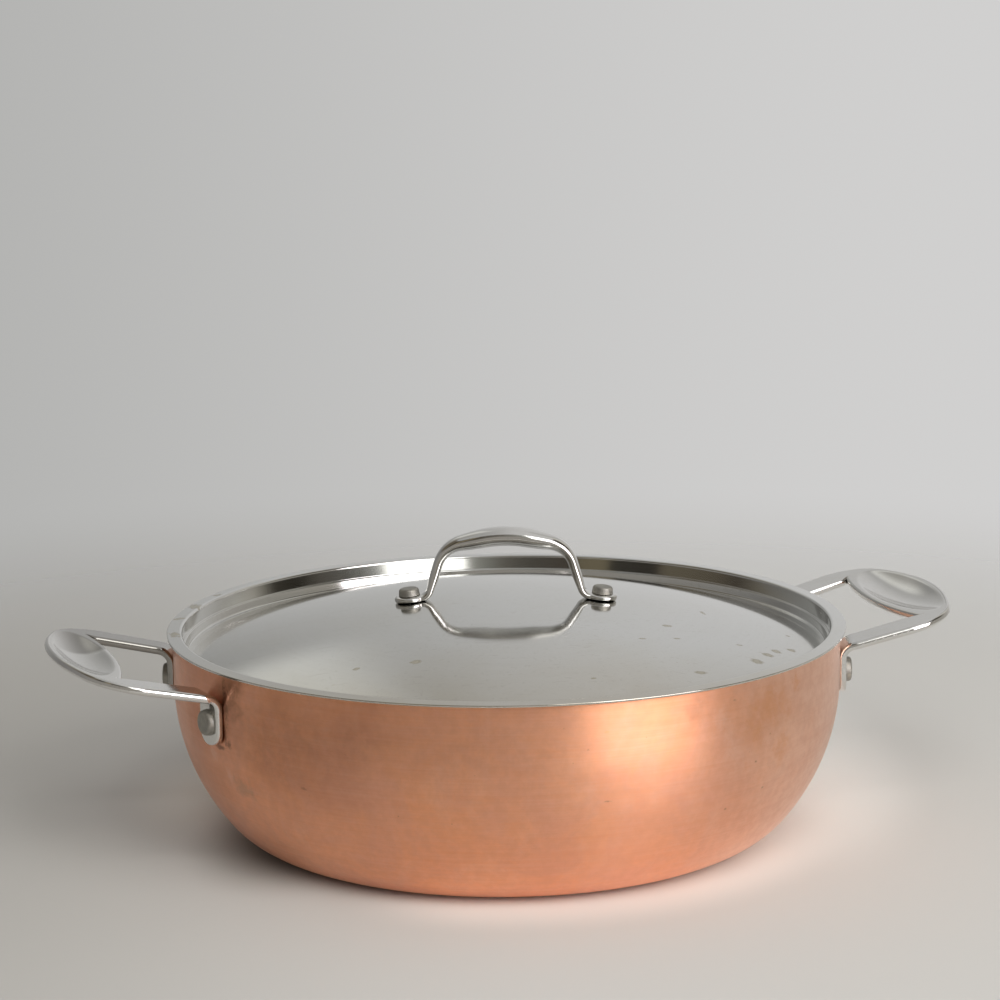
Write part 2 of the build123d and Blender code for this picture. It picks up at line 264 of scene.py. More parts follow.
def closed_mesh(name, rings, ends=None):
    """A tube of rings with a fan to the mean of each end, its faces turned outwards."""
    rows, columns = rings.shape[:2]
    middles = (rings[[0, -1]] if ends is None else ends).mean(1)
    points = np.concatenate([rings.reshape(-1, 3), middles])
    quads = grid_quads(rows, columns)
    ring = np.arange(columns)
    fans = np.concatenate([
        fan(rows * columns, ring, True),
        fan(rows * columns + 1, ring + (rows - 1) * columns, False),
    ])
    triangles = np.concatenate([quads[:, [0, 1, 2]], quads[:, [0, 2, 3]], fans])
    if volume(points - points.mean(0), triangles) < 0:
        quads, fans = quads[:, ::-1], fans[:, ::-1]
    mesh = bpy.data.meshes.new(name)
    mesh.from_pydata(points.tolist(), [], quads.tolist() + fans.tolist())
    mesh.polygons.foreach_set("use_smooth", np.ones(len(mesh.polygons), bool))
    mesh.update()
    return mesh


def turned_mesh(name, profile, place=np.eye(4)):
    """A profile of (radius, height) points turned round the Z axis and put in place by a matrix; the
    attribute along is each point's length along the profile."""
    angle = np.linspace(0, 2 * math.pi, around, endpoint=False)
    radius, height = profile[:, :1], profile[:, 1:]
    rings = np.stack([radius * np.cos(angle), radius * np.sin(angle), height + 0 * angle], -1)
    rings = rings @ place[:3, :3].T + place[:3, 3]
    mesh = closed_mesh(name, rings[1:-1], rings[[0, -1]])
    length = lengths(profile)
    along = np.append(np.repeat(length[1:-1], around), [0, length[-1]])
    mesh.attributes.new("along", "FLOAT", "POINT").data.foreach_set("value", along)
    return mesh


def new_object(name, data):
    """An object of the scene for a mesh, a lamp or a camera."""
    made = bpy.data.objects.new(name, data)
    bpy.context.scene.collection.objects.link(made)
    return made


def add_piece(mesh, body, solid, material):
    """One finished piece, named as its mesh: its body, the CAD node it stands for, its metal."""
    piece = new_object(mesh.name, mesh)
    piece.data.materials.append(material)
    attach(piece, body)
    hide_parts(solid)


# Pot body

def bowl_line(inset):
    """The wall's line moved in by inset: a flat base, a knuckle arc, a belly arc, an upright."""
    bend_height = pot_height - side_height
    belly_centre = rim_radius - belly_radius
    turn = math.asin((bend_height - knuckle_radius) / (belly_radius - knuckle_radius))
    knuckle_centre = belly_centre + (belly_radius - knuckle_radius) * math.cos(turn)
    base = stretch((0, inset), (knuckle_centre, inset), 24)
    knuckle = arc((knuckle_centre, knuckle_radius), knuckle_radius - inset, -math.pi / 2, -turn, 22)
    belly = arc((belly_centre, bend_height), belly_radius - inset, -turn, 0, 34)
    wall = rim_radius - inset
    side = stretch((wall, bend_height), (wall, pot_height - rim_round), 10)
    return np.concatenate([base, knuckle[1:], belly[1:], side[1:]])


def bowl_layer(outer_inset, gauge):
    """One layer of the wall: its outer line up, a rim with soft corners, and its inner line back."""
    outside = bowl_line(outer_inset)
    inside = bowl_line(outer_inset + gauge)[::-1]
    outer_top = (rim_radius - outer_inset - rim_round, pot_height)
    inner_top = (rim_radius - outer_inset - gauge + rim_round, pot_height)
    return np.concatenate([outside, [outer_top, inner_top], inside])


# Lid

def dome_rise(distance, radius=dome_radius):
    """The dome's height at a distance from the axis: a circle's arc over dome_centre."""
    return dome_centre + np.sqrt(radius ** 2 - distance ** 2)


def lid_profile():
    """The sheet's closed line: dome, foot, ledge, upright wall and flange above, and the same below."""
    slope = flange_drop / (lid_radius - upper_wall)
    ledge = flange_top - step_depth
    edge = flange_top - slope * (lid_radius - rim_radius)
    under_wall = upper_wall + lid_gauge
    under_foot = foot_radius + lid_gauge
    under_radius = dome_radius - lid_gauge
    above = np.linspace(0, foot_radius - foot_flat, 80)
    below = np.linspace(under_foot - foot_flat, 0, 40)
    folds = [
        (above[-1], dome_rise(above[-1])),
        (foot_radius, dome_rise(foot_radius)),
        (step_radius, ledge),
        (upper_wall, ledge),
        (upper_wall, flange_top + slope * (rim_radius - upper_wall)),
        (lid_radius, edge),
        (lid_radius, edge - lid_gauge),
        (under_wall, under_flange + slope * (rim_radius - under_wall)),
        (under_wall, ledge - lid_gauge),
        (step_radius + lid_gauge, ledge - lid_gauge),
        (under_foot, dome_rise(under_foot, under_radius)),
        (below[0], dome_rise(below[0], under_radius)),
    ]
    radii = [foot_bend, step_bend, step_bend, flange_bend, flange_edge, flange_edge,
             lid_gauge / 5, step_bend, step_bend, foot_bend + lid_gauge]
    upper = np.stack([above, dome_rise(above)], 1)
    under = np.stack([below, dome_rise(below, under_radius)], 1)
    return np.concatenate([upper, rounded_line(folds, radii)[1:], under[1:]])


# Rivets

def rivet_profile(grip, shank, head, head_height, head_round, tail, tail_height):
    """A rivet turned from one line: a head with rounded shoulders, the shank and the closed tail."""
    corners = [
        (0, head_height),
        (head - head_round / 3, head_height),
        (head, 0),
        (shank, 0),
        (shank, -grip),
        (tail, -grip),
        (tail, -grip - tail_height),
        (0, -grip - tail_height),
    ]
    radii = [head_round, hold, hold, hold, tail_height / 4, tail_height / 2]
    return rounded_line(corners, radii, 9)


def frame_matrix(origin, x_dir, z_dir):
    """A place as a 4 by 4 matrix from its origin, X direction and Z direction."""
    x_dir, z_dir = unit(x_dir), unit(z_dir)
    place = np.eye(4)
    place[:3] = np.stack([x_dir, np.cross(z_dir, x_dir), z_dir, origin], 1)
    return place


def side_rivet_place(side, end):
    """Where a side rivet's head seats: on the tab's outer face, looking away from the wall."""
    outward = heading(splay) * [side, end, 1]
    origin = outward * (tab_face + tab_gauge) + z_axis * rivet_height
    return frame_matrix(origin, np.cross(z_axis, outward), outward)


def eye_place(end):
    """Where a lid rivet's head seats: on an eye of the lid handle, looking square away from the dome."""
    lean = math.asin(eye_offset / dome_radius)
    outward = end * heading(lid_turn)
    normal = outward * math.sin(lean) + z_axis * math.cos(lean)
    along = outward * math.cos(lean) - z_axis * math.sin(lean)
    seat = outward * eye_offset + z_axis * dome_rise(eye_offset) + normal * eye_gauge
    return frame_matrix(seat, along, normal)


# Side handles

def section_weights(flat_count=34, edge_count=8):
    """A rounded rectangle as weights: shares of width and height, shares of the round, and 1 for the
    upper flat, -1 for the lower one and 0 elsewhere."""
    flat = stretch((0.0,), (1.0,), flat_count)[:, 0]
    flat = (flat - flat[0]) / (flat[-1] - flat[0])
    quarter = np.linspace(0, math.pi / 2, edge_count)
    sine, cosine = np.sin(quarter), np.cos(quarter)
    one, nought = np.ones(edge_count), np.zeros(edge_count)
    level, low = np.ones(flat_count + 2), np.zeros(flat_count + 2)
    runs = [
        (flat, level, 1 - 2 * flat, low, level),
        (one, one, sine - 1, cosine - 1, nought),
        (one, nought, cosine - 1, 1 - sine, nought),
        (flat[::-1], low, 1 - 2 * flat[::-1], low, -level),
        (nought, nought, 1 - sine, 1 - cosine, nought),
        (nought, one, 1 - cosine, sine - 1, nought),
    ]
    return [np.concatenate([part[:-1] for part in parts]) for parts in zip(*runs)]


def dish_drop(x, y, extra, level):
    """How far a lemon of revolution, grown by extra, reaches below a level under the strap's top."""
    turn = (dish_half_width ** 2 + dish_depth ** 2) / (2 * dish_depth)
    length_radius = (dish_half_length ** 2 + dish_depth ** 2) / (2 * dish_depth)
    reach = np.sqrt(np.maximum((length_radius + extra) ** 2 - y ** 2, 0)) - (length_radius - turn)
    across = np.maximum(reach, 0) ** 2 - (x - dish_reach) ** 2
    depth = np.sqrt(np.maximum(across, 0)) - (turn - dish_depth) - level
    return (depth + np.sqrt(depth ** 2 + dish_crease ** 2)) / 2


def loop_lines():
    """The loop's outer and inner lines for one half, from the leg to the tip, point against point."""
    def leg_corner(across):
        out = tab_face + bend_outer
        along = out * math.cos(splay) - across * math.sin(splay)
        aside = out * math.sin(splay) + across * math.cos(splay)
        return np.array([(along - rim_radius) / math.cos(strap_rise), aside])

    tip_centre = loop_reach - tip_radius
    corner_y = loop_half_width - corner_radius
    corner_x = tip_centre + math.sqrt((tip_radius - corner_radius) ** 2 - corner_y ** 2)
    tip_turn = math.atan2(corner_y, corner_x - tip_centre)
    outer_leg, inner_leg = leg_corner(tab_width / 2), leg_corner(-tab_width / 2)
    gap = outer_leg - [corner_x, corner_y]
    flank_turn = math.atan2(gap[1], gap[0]) - math.acos(corner_radius / np.linalg.norm(gap))
    corner = arc((corner_x, corner_y), corner_radius, flank_turn, tip_turn, 40)
    outer = [
        stretch(outer_leg, corner[0], 20),
        corner[1:],
        arc((tip_centre, 0), tip_radius, tip_turn, 0, 60)[1:],
    ]
    mouth = np.array([opening_depth_side, opening_half_width])
    bow = opening_depth_side - opening_depth_middle
    bow_radius = (bow ** 2 + opening_half_width ** 2) / (2 * bow)
    bow_centre = opening_depth_middle + bow_radius
    bow_turn = math.atan2(opening_half_width, opening_depth_side - bow_centre)
    toward = mouth + 0.3 * opening_corner * np.array([math.sin(bow_turn), -math.cos(bow_turn)])
    rounded = corner_arc(inner_leg, mouth, toward, opening_corner, 40)
    bow_start = math.atan2(rounded[-1][1], rounded[-1][0] - bow_centre)
    inner = [
        stretch(inner_leg, rounded[0], 20),
        rounded[1:],
        arc((bow_centre, 0), bow_radius, bow_start, math.pi, 60)[1:],
    ]
    return np.concatenate(outer), np.concatenate(inner)


def tab_stations():
    """The bend and the tab as pairs of upper and lower points, out from the wall and up."""
    lean = math.asin(math.sin(strap_rise) * math.cos(splay))
    along, below = (math.cos(lean), math.sin(lean)), (math.sin(lean), -math.cos(lean))
    fold = strap_height - (rim_radius - tab_face * math.cos(splay)) * math.tan(strap_rise)
    drop = fold - rivet_height + tab_drop
    leg_top = np.array([bend_outer, bend_outer * math.tan(lean)])
    leg_under = leg_top + np.array(below) * strap_gauge
    back = (leg_under[0] - tab_gauge) / along[0]
    crook = (tab_gauge, leg_under[1] - back * along[1])
    upper = [leg_top, (0, 0), (0, -drop)]
    lower = [leg_under, crook, (tab_gauge, -drop)]
    paths = []
    for line, radius in ((upper, bend_outer), (lower, bend_inner)):
        turned = corner_arc(*line, radius, 24)
        leg = np.linspace(line[0], turned[0], 3)
        run = np.linspace(turned[-1], line[-1], 40)
        paths.append(np.concatenate([leg, turned[1:], run[1:]]))
    return *paths, fold


def handle_half():
    """Half a side handle from the tip to the tab's end, a row for each section: its lower inner corner,
    its directions across and through the strap, its width and its gauge."""
    outer, inner = (laid(line[::-1], strap_along, y_axis, strap_origin) for line in loop_lines())
    normal = np.cross(strap_along, y_axis)
    across = outer - inner
    upper, lower, fold = tab_stations()
    outward = heading(splay)
    foot = outward * tab_face + z_axis * fold
    upper, lower = (laid(line[1:], outward, z_axis, foot) for line in (upper, lower))
    turned = np.clip(np.linspace(0, 2, len(upper)), 0, 1)[:, None]
    aside = unit((1 - turned) * unit(across)[-1] + turned * np.cross(z_axis, outward))
    corner = np.maximum(tab_corner - lengths(upper[::-1])[::-1], 0)
    width = tab_width - 2 * (tab_corner - np.sqrt(tab_corner ** 2 - corner ** 2))
    base = np.concatenate([inner - normal * strap_gauge, lower - aside * width[:, None] / 2])
    wide = np.concatenate([unit(across), aside])
    high = np.concatenate([np.broadcast_to(normal, inner.shape), unit(upper - lower)])
    widths = np.append(np.linalg.norm(across, axis=1), width)
    gauges = np.append(np.full(len(inner), strap_gauge), np.linalg.norm(upper - lower, axis=1))
    return base, wide, high, widths, gauges


def handle_rings(side):
    """A side handle as rings: rounded rectangles across the loop, dished where the lemon reaches."""
    base, wide, high, width, gauge = handle_half()
    share_wide, share_high, round_wide, round_high, kind = section_weights()
    round_size = np.minimum(strap_edge, most_round * np.minimum(gauge, width))[:, None]
    thinned = rise_share(strap_gauge - gauge, 0, strap_gauge - tab_gauge)[:, None]
    back_size = np.minimum(round_size, strap_edge + (tab_back_edge - strap_edge) * thinned)
    round_size = np.where(share_high > 0.5, back_size, round_size)
    across = share_wide * width[:, None] + round_wide * round_size
    above = share_high * gauge[:, None] + round_high * round_size
    points = base[:, None] + across[..., None] * wide[:, None] + above[..., None] * high[:, None]
    x = (points - strap_origin) @ strap_along
    drop = np.where(kind > 0, dish_drop(x, points[..., 1], 0, 0), 0)
    drop += np.where(kind < 0, dish_drop(x, points[..., 1], dish_wall, strap_gauge), 0)
    points = points - drop[..., None] * high[:, None]
    return np.concatenate([points[::-1] * [1, -1, 1], points[1:]]) * [side, side, 1]


# Lid handle

def arch_line():
    """The middle line of the bar in its upright plane, from one eye's end to the other's."""
    base = dome_rise(eye_offset)
    foot = (leg_foot, dome_rise(leg_foot) + eye_gauge / 2)
    seat = base + eye_gauge / 2
    slope = (seat - foot[1]) / (eye_offset - leg_foot)
    tip = (eye_offset + eye_radius, seat + slope * eye_radius)
    half = [tip, foot, (shoulder_reach, base + shoulder_height), (0, base + arch_height)]
    corners = [(-x, z) for x, z in half] + half[-2::-1]
    radii = [foot_turn, shoulder_turn, crown_turn, shoulder_turn, foot_turn]
    return rounded_line(corners, radii, 26, 22)


def smooth_steps(distance, stations):
    """A value that moves smoothly from each station to the next along a distance."""
    place, value = np.array(stations).T
    index = np.clip(np.searchsorted(place, distance) - 1, 0, len(place) - 2)
    share = rise_share(distance, place[index], place[index + 1])
    return value[index] + share * (value[index + 1] - value[index])


def lid_handle_rings():
    """The lid handle: superellipses along the arch, flat and round at the eyes, oval over the crown."""
    line = arch_line()
    run = lengths(line)
    nose = eye_radius * (1 - np.cos(np.linspace(0, math.pi / 2, 18)))
    middle = run[(run > eye_radius + hold) & (run < run[-1] - eye_radius - hold)]
    places = np.concatenate([nose, middle, run[-1] - nose[::-1]])
    line = np.stack([np.interp(places, run, part) for part in line.T], 1)
    from_tip = np.minimum(places, run[-1] - places)
    past_eye = from_tip - eye_radius
    width = smooth_steps(past_eye, bar_widths)
    gauge = smooth_steps(past_eye, bar_gauges)
    power = smooth_steps(past_eye, bar_powers)
    chord = 2 * np.sqrt(np.maximum(eye_radius ** 2 - past_eye ** 2, 0))
    width = np.where(past_eye > 0, np.maximum(width, chord), np.maximum(chord, hold))
    edge = np.maximum(eye_edge - from_tip, 0)
    gauge = gauge - 2 * (eye_edge - np.sqrt(eye_edge ** 2 - edge ** 2))
    tangent = unit(np.gradient(line, axis=0))
    turn = heading(lid_turn)
    up = tangent[:, :1] * z_axis - tangent[:, 1:] * turn
    angle = np.linspace(0, 2 * math.pi, 64, endpoint=False)

    def bulge(wave, size):
        return np.sign(wave) * np.abs(wave) ** (2 / power[:, None]) * size[:, None] / 2

    across = bulge(np.cos(angle), width)[..., None] * np.cross(z_axis, turn)
    above = bulge(np.sin(angle), gauge)[..., None] * up[:, None]
    return laid(line, turn, z_axis)[:, None] + across + above


# Shader building

def add(tree, kind, inputs=None, **settings):
    """A shader node with its settings, each named input given a value or another node's output."""
    made = tree.nodes.new("ShaderNode" + kind)
    for name, value in settings.items():
        setattr(made, name, value)
    for name, value in (inputs or {}).items():
        socket = made.inputs[name]
        if isinstance(value, bpy.types.NodeSocket):
            tree.links.new(value, socket)
        else:
            socket.default_value = (*value, 1) if socket.type == "RGBA" else value
    return made


def node(kind, inputs, **settings):
    """A shader node in the tree of the outputs that feed it."""
    linked = [value for value in inputs.values() if isinstance(value, bpy.types.NodeSocket)]
    return add(linked[0].id_data, kind, inputs, **settings)


def link(output, socket):
    """A wire from one node's output to another's input."""
    output.id_data.links.new(output, socket)


def calc(operation, first, *others):
    """Numbers brought together in turn by one operation."""
    for other in others:
        first = node("Math", {0: first, 1: other}, operation=operation).outputs[0]
    return first


plus = partial(calc, "ADD")
minus = partial(calc, "SUBTRACT")
times = partial(calc, "MULTIPLY")
most = partial(calc, "MAXIMUM")


def calc_vector(operation, first, second=(0, 0, 0)):
    """One sum of two vectors."""
    made = node("VectorMath", {0: first, 1: second}, operation=operation)
    return made.outputs["Value" if operation in ("LENGTH", "DOT_PRODUCT") else "Vector"]


def blend(share, first, second):
    """A colour between two colours, each red, green and blue or another node's output."""
    return node("Mix", {0: share, 6: first, 7: second}, data_type="RGBA").outputs[2]


def coated(color, *coats):
    """A colour under coats laid on in turn, each a mask, the share that it covers and its tone."""
    for mask, share, tone in coats:
        color = blend(times(mask, share), color, tone)
    return color


def rise(value, low, high, start=0, end=1):
    """A value that moves smoothly from start to end as another goes from low to high."""
    inputs = {"Value": value, "From Min": low, "From Max": high, "To Min": start, "To Max": end}
    return node("MapRange", inputs, interpolation_type="SMOOTHSTEP").outputs[0]


def cloud(vector, scale, detail=3, roughness=0.5, distortion=0):
    """Soft noise from 0 to 1."""
    inputs = {"Scale": scale, "Detail": detail, "Roughness": roughness, "Distortion": distortion}
    return node("TexNoise", {"Vector": vector, **inputs}).outputs[0]


def new_group(name, inputs, outputs):
    """An empty node group with named inputs and outputs: its tree, its given and its outgoing sockets."""
    tree = bpy.data.node_groups.new(name, "ShaderNodeTree")
    tree.interface.new_socket("Vector", in_out="INPUT", socket_type="NodeSocketVector")
    for label, value in inputs.items():
        kind = "NodeSocketVector" if isinstance(value, tuple) else "NodeSocketFloat"
        tree.interface.new_socket(label, in_out="INPUT", socket_type=kind).default_value = value
    for label in outputs:
        tree.interface.new_socket(label, in_out="OUTPUT", socket_type="NodeSocketFloat")
    given = tree.nodes.new("NodeGroupInput").outputs
    return tree, given, tree.nodes.new("NodeGroupOutput").inputs


def brush_group():
    """Brushed lines: noise in two finenesses, squeezed one way and drawn out the others."""
    tree, given, out = new_group("brushed_lines", {"Squeeze": (1, 1, 1)}, ["Lines"])
    drawn = calc_vector("MULTIPLY", given["Vector"], given["Squeeze"])
    fine = cloud(drawn, 1, 2, 0.6)
    broad = cloud(drawn, 0.23, 2, 0.6)
    link(rise(plus(times(fine, 0.6), times(broad, 0.4)), 0.3, 0.7), out["Lines"])
    return tree


def scratch_group():
    """Fine scratches: three slants of drawn out noise, each kept only at its crests."""
    tree, given, out = new_group("fine_scratches", {"Scale": 60, "Rarity": 0.7}, ["Scratches"])
    crests = []
    for slant, drawn in ((0.35, 26), (1.9, 31), (2.75, 22)):
        turned = node("Mapping", {"Vector": given["Vector"], "Rotation": (slant, slant / 2, slant)})
        narrow = calc_vector("MULTIPLY", turned.outputs[0], (1, drawn, drawn))
        scratch = cloud(narrow, given["Scale"], 1, 0.4)
        crests.append(rise(minus(scratch, given["Rarity"]), 0, 0.04))
    link(most(*crests), out["Scratches"])
    return tree


def speck_group():
    """Specks: small round marks at the middles of scattered cells, most of the cells left bare."""
    tree, given, out = new_group("specks", {"Scale": 200, "Size": 0.2, "Rarity": 0.8}, ["Specks"])
    cells = node("TexVoronoi", {"Vector": given["Vector"], "Scale": given["Scale"]}).outputs
    near = plus(cells["Distance"], times(cloud(given["Vector"], given["Scale"], 2), 0.5))
    dot = rise(minus(near, given["Size"]), 0.18, 0.3, 1, 0)
    draw = node("SeparateColor", {0: cells["Color"]}).outputs[0]
    link(times(dot, calc("GREATER_THAN", draw, given["Rarity"])), out["Specks"])
    return tree


def mark_group():
    """One mark at a place: 1 in its middle, ragged at its border, and 0 beyond its reach."""
    inputs = {"Place": (0, 0, 0), "Reach": (1, 1, 1), "Softness": 0.3, "Grain": 420, "Ragged": 0.6}
    tree, given, out = new_group("mark", inputs, ["Inside", "Border"])
    away = calc_vector("SUBTRACT", given["Vector"], given["Place"])
    share = calc_vector("LENGTH", calc_vector("DIVIDE", away, given["Reach"]))
    uneven = minus(cloud(given["Vector"], given["Grain"], 3), 0.5)
    share = plus(share, times(uneven, given["Ragged"]))
    edge = minus(1, given["Softness"])
    inside = rise(share, edge, 1, 1, 0)
    core = rise(share, times(edge, 0.75), edge, 1, 0)
    link(inside, out["Inside"])
    link(minus(inside, core), out["Border"])
    return tree


brushed_lines = brush_group()
fine_scratches = scratch_group()
specks = speck_group()
mark = mark_group()


def use(group, vector, **inputs):
    """A shared group placed in a material with its own values."""
    made = vector.id_data.nodes.new("ShaderNodeGroup")
    made.node_tree = group
    link(vector, made.inputs["Vector"])
    for name, value in inputs.items():
        made.inputs[name].default_value = value
    return made.outputs


def brushed(vector, *squeeze):
    """Brushed lines on a piece."""
    return use(brushed_lines, vector, Squeeze=squeeze)["Lines"]


def specked(vector, scale, size, rarity):
    """Specks on a piece."""
    return use(specks, vector, Scale=scale, Size=size, Rarity=rarity)["Specks"]


def new_metal(name, roughness, anisotropic=0):
    """A metal and its Object coordinates; an anisotropic one is brushed round the upright axis."""
    material = bpy.data.materials.new(name)
    material.use_nodes = True
    shader = material.node_tree.nodes["Principled BSDF"].inputs
    place = add(material.node_tree, "TexCoord").outputs["Object"]
    shader["Metallic"].default_value = 1
    shader["Roughness"].default_value = roughness
    shader["Anisotropic"].default_value = anisotropic
    if anisotropic:
        link(calc_vector("CROSS_PRODUCT", (0, 0, 1), place), shader["Tangent"])
        shader["Anisotropic Rotation"].default_value = 0.25
    return material, place


def finish(material, color, roughness, height=None, distance=0.00002, strength=0.4):
    """A metal given its colour, its roughness and the fine relief of a height."""
    shader = material.node_tree.nodes["Principled BSDF"].inputs
    link(color, shader["Base Color"])
    link(roughness, shader["Roughness"])
    if height is not None:
        bump = node("Bump", {"Height": height, "Distance": distance, "Strength": strength})
        link(bump.outputs[0], shader["Normal"])
    return material


def along_profile(place):
    """A vector with the length along a turned profile as its Z, so that lines on it follow the turning."""
    flat = node("SeparateXYZ", {0: place}).outputs
    along = add(place.id_data, "Attribute", attribute_name="along").outputs["Fac"]
    return node("CombineXYZ", {0: flat[0], 1: flat[1], 2: along}).outputs[0]


# Marks on the copper: azimuth from +X in degrees, height, reach round and up in mm, share and tone
mm = 0.001
tab_azimuth = 180 + math.degrees(splay)
tab_side = tab_azimuth + math.degrees(tab_width / 2 / rim_radius)
rivet_level = rivet_height / mm
grime = (0.10, 0.035, 0.02)
brown = (0.40, 0.19, 0.11)
mauve = (0.52, 0.27, 0.20)
pale = (0.95, 0.62, 0.48)
rusty = (0.84, 0.36, 0.14)
smudge = (0.42, 0.27, 0.20)
copper_marks = [
    (tab_side + 2.2, rivet_level + 12, 11, 12, 0.65, brown),
    (tab_side + 0.6, rivet_level + 6, 3, 16, 0.75, grime),
    (tab_side + 0.3, rivet_level - 5, 1.5, 7, 0.7, grime),
    (tab_side + 1.2, rivet_level - 8, 2.4, 2.8, 0.55, grime),
    (tab_azimuth + 1.5, rivet_level - 10.6, 6, 1.6, 0.7, grime),
    (tab_azimuth + 6, rivet_level + 1, 22, 20, 0.25, brown),
    (tab_azimuth + 21, rivet_level, 50, 24, 0.22, brown),
    (tab_azimuth + 30, rivet_level - 15, 50, 20, 0.14, mauve),
    (-157.1, 44.6, 10, 7, 0.35, smudge), (-164.5, 56, 4, 6, 0.35, pale),
    (-160.5, 49, 4, 6, 0.35, pale), (-141.6, 52, 2, 0.9, 0.25, grime),
    (-93.7, 73.9, 0.7, 0.6, 0.35, grime), (-90.6, 80.7, 1.6, 0.8, 0.6, rusty),
    (-90.4, 51.1, 2.6, 0.6, 0.42, grime), (-75, 85, 8, 7, 0.22, brown),
    (-70.2, 80, 5.5, 6.5, 0.28, pale), (-68.5, 72.5, 4.5, 8, 0.28, pale),
    (-68.2, 63, 5.5, 10, 0.28, pale), (-64.9, 61.9, 12, 12, 0.35, pale),
    (-63, 69, 11, 10, 0.32, rusty), (-55, 60, 9, 13, 0.36, rusty),
    (-58.5, 79, 20, 14, 0.45, rusty), (-67.1, 86.2, 1.6, 0.6, 0.4, grime),
    (-51.3, 86, 4.5, 6, 0.4, rusty), (-61.8, 57.3, 0.9, 0.7, 0.6, brown),
    (-58.5, 43.9, 1, 0.6, 0.35, grime), (-66.9, 38.5, 1, 0.7, 0.6, brown),
]

# The scale of a mark's ragged border is this over its reach in mm
mark_grain = 2200

# Painted sheen on the copper's right side, a pale reflection laid into its colour: its tone, the side it
# faces and where it starts and is full
sheen_tone = (1, 0.67, 0.52)
sheen_side = heading(math.radians(-25))
sheen_span = (0.56, 1.05)

# Water spots on the dome: place and reach in X and Y, mm
dome_spots = [
    (85.1, -88.4, 3.4, 3.6), (93.5, -79.2, 3.1, 2.4), (99.7, -73.1, 2.6, 3),
    (108.8, -68.1, 2.5, 2.4), (54, -104.5, 3.4, 1.9), (57.1, -52.7, 2.6, 1.9),
    (40, -70.1, 2.2, 1), (56, -68.9, 2, 1), (82.7, -27.1, 1.2, 3.4),
    (83.5, -71, 2.2, 0.9), (115.7, -46.5, 1.5, 1.1), (5.6, -108, 1.6, 0.8),
    (-60.3, -70.2, 3, 2.5), (-84.1, -62.9, 2.2, 1.4),
]

# Stains on the lid's flange: azimuth from +X in degrees, reach in X and Y in mm, raggedness
flange_stains = [(139, 2.6, 2.4, 2.2), (149, 3.4, 7, 2.6), (159, 3.6, 2.6, 2.6), (171, 2.8, 6.4, 2.8)]


# Materials

def wall_point(azimuth, height):
    """A point of the wall's outside, its azimuth in degrees from +X."""
    line = bowl_line(0)
    radius = np.interp(height, line[:, 1], line[:, 0])
    return radius * heading(math.radians(azimuth)) + z_axis * height


def copper_metal():
    """Scrubbed copper: brushed round, clouded brown and pink, darker by the left front tab, with a painted
    pale sheen on its right side.
    """
    material, place = new_metal("brushed_copper", 0.35, 0.8)
    turned = along_profile(place)
    lines = brushed(turned, 12, 12, 1150)
    hair = brushed(turned, 45, 45, 2700)
    mottled = rise(cloud(place, 31, 7, 0.72, 0.5), 0.38, 0.64)
    grain = rise(cloud(place, 230, 4, 0.65), 0.35, 0.65)
    browned = rise(cloud(place, 13, 4, 0.55, 0.6), 0.42, 0.72)
    rosy = rise(cloud(place, 19, 3, 0.5, 0.4), 0.45, 0.75)
    orange = rise(cloud(place, 9, 2, 0.5, 0.8), 0.45, 0.7)
    upright = calc_vector("MULTIPLY", turned, (1, 1, 0.34))
    wiped = rise(cloud(upright, 62, 5, 0.65, 0.8), 0.48, 0.72)
    # Painted sheen: the copper turned towards the right is paled unevenly, standing in for the pale
    # reflection there
    level = calc_vector("NORMALIZE", calc_vector("MULTIPLY", place, (1, 1, 0)))
    uneven = rise(cloud(place, 24, 5, 0.65, 0.5), 0.3, 0.62, 0.62, 1)
    cloud_mask = times(rise(calc_vector("DOT_PRODUCT", level, sheen_side), *sheen_span), uneven)
    color = coated(
        (0.95, 0.445, 0.25),
        (orange, 0.6, (0.93, 0.38, 0.175)),
        (rosy, 0.45, (0.88, 0.44, 0.30)),
        (wiped, 0.36, (0.98, 0.55, 0.36)),
        (browned, 0.3, (0.66, 0.28, 0.135)),
        (mottled, 0.5, (0.80, 0.40, 0.285)),
        (cloud_mask, 1, sheen_tone),
        (lines, 0.12, (0.72, 0.31, 0.175)),
        (hair, 0.12, (1, 0.72, 0.55)),
        (grain, 0.2, (0.70, 0.31, 0.18)),
    )
    broken = rise(cloud(place, 130, 5, 0.7, 0.4), 0.36, 0.6, 0.4, 1)
    for azimuth, height, across, upward, share, tone in copper_marks:
        reach = (across * mm, across * mm, upward * mm)
        stain = use(mark, place, Place=wall_point(azimuth, height * mm), Reach=reach, Softness=0.85,
                    Grain=mark_grain / across, Ragged=1.6)
        color = coated(color, (times(stain["Inside"], broken), share, tone))
    color = coated(color, (specked(turned, 260, 0.02, 0.88), 0.45, (0.30, 0.12, 0.07)))
    rough = plus(times(browned, 0.1), times(lines, 0.06), 0.35)
    return finish(material, color, rough, plus(lines, hair))


def lining_metal():
    """The inside: steel with fine rings left by the turning."""
    material, place = new_metal("ringed_steel", 0.26, 0.4)
    lines = brushed(along_profile(place), 9, 9, 1900)
    cloud_mask = rise(cloud(place, 11, 4, 0.6), 0.4, 0.75)
    color = coated(
        (0.63, 0.62, 0.60),
        (lines, 0.3, (0.50, 0.49, 0.47)),
        (cloud_mask, 0.3, (0.58, 0.54, 0.47)),
    )
    return finish(material, color, plus(times(cloud_mask, 0.1), times(lines, 0.05), 0.22), lines)


def core_aluminium():
    """The cut edge of the core, seen as a pale line in the rim."""
    material, place = new_metal("core_aluminium", 0.35)
    lines = brushed(place, 900, 900, 3000)
    color = blend(lines, (0.72, 0.73, 0.74), (0.62, 0.63, 0.64))
    return finish(material, color, rise(lines, 0, 1, 0.28, 0.42))


